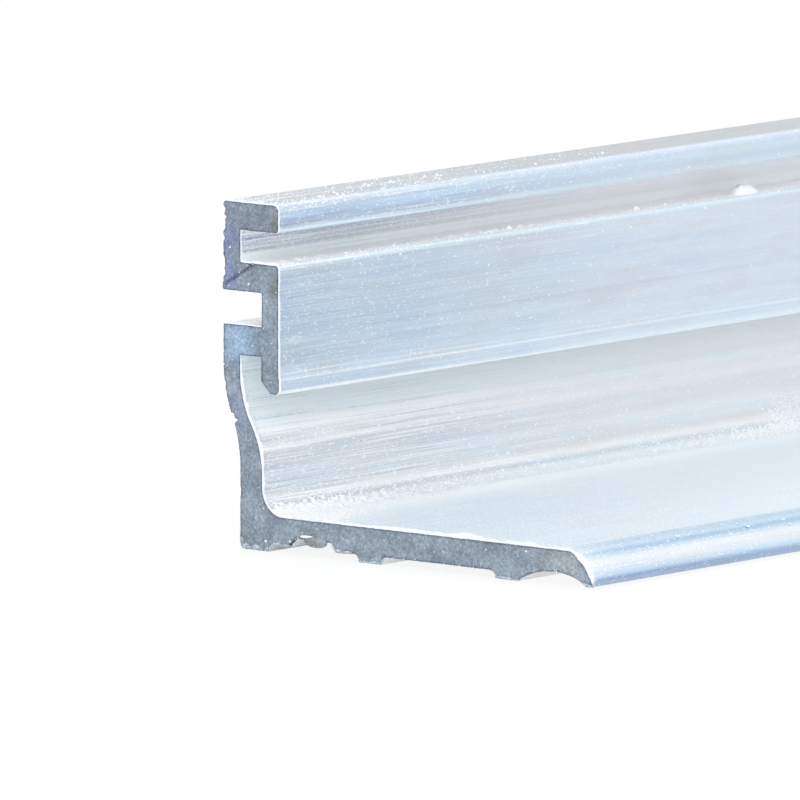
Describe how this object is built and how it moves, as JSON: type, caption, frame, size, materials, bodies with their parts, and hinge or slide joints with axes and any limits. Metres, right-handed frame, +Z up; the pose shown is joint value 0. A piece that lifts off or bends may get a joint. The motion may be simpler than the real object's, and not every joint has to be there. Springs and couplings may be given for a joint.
{
  "type": "guide rail profile",
  "caption": "L-shaped extruded aluminium guide rail with a grooved head, a hanging fin, an S-bent upright leg and a footed base with a rounded lip.",
  "frame": {"origin": "centre of the bounding box's bottom, on the floor under the middle of the rail", "axes": "+X from the back of the head towards the lip, +Y along the rail, +Z up from the feet to the head"},
  "size_m": [0.0348, 1, 0.0255],
  "materials": {
    "mill_aluminium": "bare mill finish with fine die lines along the length; sawn ends"
  },
  "bodies": {
    "root": {"rail": "mill_aluminium"}
  },
  "joints": []
}
